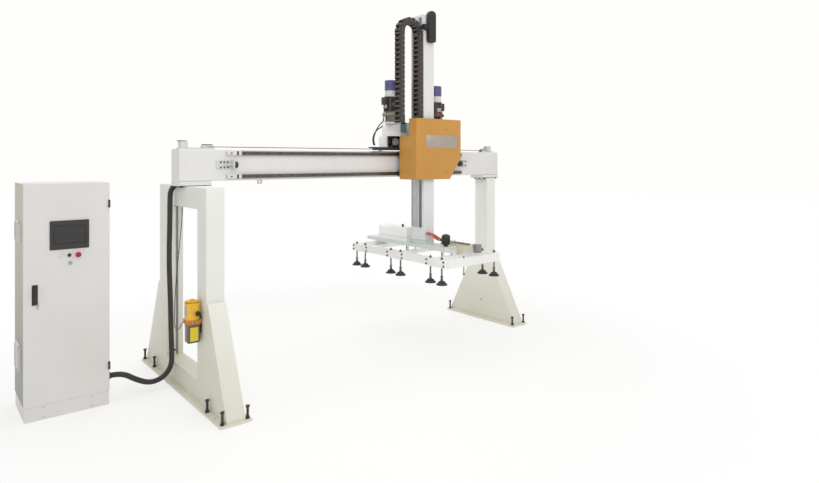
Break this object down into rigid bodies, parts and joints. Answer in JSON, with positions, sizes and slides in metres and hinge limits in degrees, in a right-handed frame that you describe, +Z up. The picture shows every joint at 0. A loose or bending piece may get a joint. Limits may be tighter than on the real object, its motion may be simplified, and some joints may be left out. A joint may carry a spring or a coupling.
{
  "type": "gantry robot",
  "caption": "Single-beam gantry robot on a portal column and a post, with a belt-driven carriage, a rack-driven mast, a vacuum bar gripper and a control cabinet.",
  "frame": {"origin": "centre of the underside of the left column's foot plate, on the floor", "axes": "+X along the beam from the left column to the right column, +Y across the beam away from the carriage's mast side, +Z up"},
  "size_m": [5.138, 2.1, 3.6],
  "materials": {
    "cream_paint": "satin enamel, cream white",
    "light_grey_paint": "fine texture powder coat, warm light grey",
    "ochre_paint": "satin enamel, ochre",
    "white_paint": "satin enamel, white",
    "dark_paint": "satin paint, near black",
    "orange_paint": "satin enamel, yellow orange",
    "ground_steel": "ground bearing steel",
    "zinc_steel": "zinc plated steel",
    "machined_steel": "machined steel, oiled",
    "anodised_aluminium": "clear anodised",
    "dark_aluminium": "black anodised",
    "black_plastic": "moulded, fine matte",
    "chain_plastic": "glass filled nylon, matte",
    "blue_plastic": "moulded, blue violet",
    "white_plastic": "moulded, white",
    "red_plastic": "moulded, red",
    "orange_hose": "smooth hose, red orange",
    "black_rubber": "moulded rubber, matte",
    "belt_rubber": "toothed belt, matte black",
    "conduit_metal": "ribbed nylon conduit, brown black"
  },
  "bodies": {
    "stand": {"left_column": "cream_paint", "right_column": "cream_paint", "frame_bolts": "zinc_steel", "beam": "cream_paint", "beam_fittings": "cream_paint", "x_rails": "ground_steel", "beam_brackets": "anodised_aluminium", "x_buffers": "black_rubber", "x_belt": "belt_rubber", "chain_tray": "zinc_steel", "x_chain_lower": "chain_plastic", "conduit": "conduit_metal", "lubricator": "orange_paint", "cabinet": "light_grey_paint", "cabinet_fittings": "light_grey_paint", "control_gear": "zinc_steel"},
    "carriage": {"carriage_plate": "dark_aluminium", "bearing_blocks": "machined_steel", "carriage_cover": "ochre_paint", "x_drive_frame": "dark_paint", "gearboxes": "white_paint", "drive_motors": "dark_paint", "encoder_caps": "blue_plastic", "belt_loop": "belt_rubber", "chain_arms": "zinc_steel", "x_chain_upper": "chain_plastic", "z_chain_left_leg": "chain_plastic"},
    "mast_slide": {"mast": "white_paint", "z_rails": "ground_steel", "z_rack": "machined_steel", "z_chain_right_leg": "chain_plastic", "chain_guide": "black_plastic", "gripper_spine": "anodised_aluminium", "gripper_bars": "white_paint", "cup_clamps": "anodised_aluminium", "valve_box": "white_paint", "vacuum_filter": "black_plastic", "vacuum_hoses": "orange_hose", "push_cylinder": "anodised_aluminium"},
    "door": {"cabinet_door": "light_grey_paint", "operator_panel": "black_plastic"},
    "handle": {"door_handle": "black_plastic"},
    "start": {"start_button": "white_plastic"},
    "stop": {"stop_button": "red_plastic"},
    "selector": {"mode_selector": "black_plastic"},
    "key": {"key_switch": "zinc_steel"},
    "pulley": {"drive_pulley": "machined_steel"},
    "idler_left": {"belt_idler_left": "machined_steel"},
    "idler_right": {"belt_idler_right": "machined_steel"},
    "pinion": {"z_pinion": "machined_steel"},
    "x_bend": {"x_chain_bend": "chain_plastic"},
    "z_bend": {"z_chain_bend": "chain_plastic"},
    "pusher": {"cylinder_rod": "ground_steel"},
    "feeler": {"feeler_rod": "zinc_steel"},
    "cups_1": {"cup_pair_1": "black_rubber"},
    "cups_2": {"cup_pair_2": "black_rubber"},
    "cups_3": {"cup_pair_3": "black_rubber"},
    "cups_4": {"cup_pair_4": "black_rubber"},
    "cups_5": {"cup_pair_5": "black_rubber"},
    "cups_6": {"cup_pair_6": "black_rubber"}
  },
  "joints": [
    {"name": "x_slide", "type": "slide", "parent": "stand", "child": "carriage", "axis": [1, 0, 0], "range_m": [-1.75, 0.24], "deforming": ["x_belt", "x_chain_lower", "x_chain_upper"]},
    {"name": "z_slide", "type": "slide", "parent": "carriage", "child": "mast_slide", "axis": [0, 0, 1], "range_m": [-0.45, 0.45], "deforming": ["z_chain_left_leg", "z_chain_right_leg"]},
    {"name": "x_chain_slide", "type": "slide", "parent": "stand", "child": "x_bend", "axis": [1, 0, 0], "range_m": [-0.88, 0.125]},
    {"name": "z_chain_slide", "type": "slide", "parent": "carriage", "child": "z_bend", "axis": [0, 0, 1], "range_m": [-0.23, 0.23]},
    {"name": "pulley_spin", "type": "hinge", "parent": "carriage", "child": "pulley", "pos_m": [2.278, 0, 2.197], "axis": [0, 1, 0], "range_deg": [-350, 2530]},
    {"name": "idler_left_spin", "type": "hinge", "parent": "carriage", "child": "idler_left", "pos_m": [2.21521, 0, 2.1365], "axis": [0, 1, 0], "range_deg": [-4680, 650]},
    {"name": "idler_right_spin", "type": "hinge", "parent": "carriage", "child": "idler_right", "pos_m": [2.34079, 0, 2.1365], "axis": [0, 1, 0], "range_deg": [-4680, 650]},
    {"name": "pinion_spin", "type": "hinge", "parent": "carriage", "child": "pinion", "pos_m": [2.62, -0.355, 2.26], "axis": [0, 1, 0], "range_deg": [-325, 325]},
    {"name": "door_hinge", "type": "hinge", "parent": "stand", "child": "door", "pos_m": [-0.641, 0.037, 0.96], "axis": [0, 0, 1], "range_deg": [0, 110]},
    {"name": "handle_turn", "type": "hinge", "parent": "door", "child": "handle", "pos_m": [-1.162, 0.045, 1.005], "axis": [0, 1, 0], "range_deg": [0, 90]},
    {"name": "start_push", "type": "slide", "parent": "door", "child": "start", "axis": [0, 1, 0], "range_m": [0, 0.004], "stiffness_N_per_m": 1200, "springref_m": -0.002},
    {"name": "stop_push", "type": "slide", "parent": "door", "child": "stop", "axis": [0, 1, 0], "range_m": [0, 0.005], "stiffness_N_per_m": 1500, "springref_m": -0.002},
    {"name": "selector_turn", "type": "hinge", "parent": "door", "child": "selector", "pos_m": [-0.928, 0.045, 1.248], "axis": [0, 1, 0], "range_deg": [-45, 45]},
    {"name": "key_turn", "type": "hinge", "parent": "door", "child": "key", "pos_m": [-0.921, 0.045, 1.185], "axis": [0, 1, 0], "range_deg": [0, 90]},
    {"name": "pusher_slide", "type": "slide", "parent": "mast_slide", "child": "pusher", "axis": [0, -1, 0], "range_m": [0, 0.1]},
    {"name": "feeler_slide", "type": "slide", "parent": "mast_slide", "child": "feeler", "axis": [0, 0, 1], "range_m": [0, 0.03], "stiffness_N_per_m": 250, "springref_m": -0.02},
    {"name": "cup_spring_1", "type": "slide", "parent": "mast_slide", "child": "cups_1", "axis": [0, 0, 1], "range_m": [0, 0.03], "stiffness_N_per_m": 1500, "springref_m": -0.01},
    {"name": "cup_spring_2", "type": "slide", "parent": "mast_slide", "child": "cups_2", "axis": [0, 0, 1], "range_m": [0, 0.03], "stiffness_N_per_m": 1500, "springref_m": -0.01},
    {"name": "cup_spring_3", "type": "slide", "parent": "mast_slide", "child": "cups_3", "axis": [0, 0, 1], "range_m": [0, 0.03], "stiffness_N_per_m": 1500, "springref_m": -0.01},
    {"name": "cup_spring_4", "type": "slide", "parent": "mast_slide", "child": "cups_4", "axis": [0, 0, 1], "range_m": [0, 0.03], "stiffness_N_per_m": 1500, "springref_m": -0.01},
    {"name": "cup_spring_5", "type": "slide", "parent": "mast_slide", "child": "cups_5", "axis": [0, 0, 1], "range_m": [0, 0.03], "stiffness_N_per_m": 1500, "springref_m": -0.01},
    {"name": "cup_spring_6", "type": "slide", "parent": "mast_slide", "child": "cups_6", "axis": [0, 0, 1], "range_m": [0, 0.03], "stiffness_N_per_m": 1500, "springref_m": -0.01}
  ],
  "couplings": [
    {"joint": "x_chain_slide", "follows": "x_slide", "ratio": 0.5},
    {"joint": "z_chain_slide", "follows": "z_slide", "ratio": 0.5},
    {"joint": "pulley_spin", "follows": "x_slide", "rad_per_m": -25.133},
    {"joint": "idler_left_spin", "follows": "x_slide", "rad_per_m": 46.512},
    {"joint": "idler_right_spin", "follows": "x_slide", "rad_per_m": 46.512},
    {"joint": "pinion_spin", "follows": "z_slide", "rad_per_m": 12.5}
  ]
}
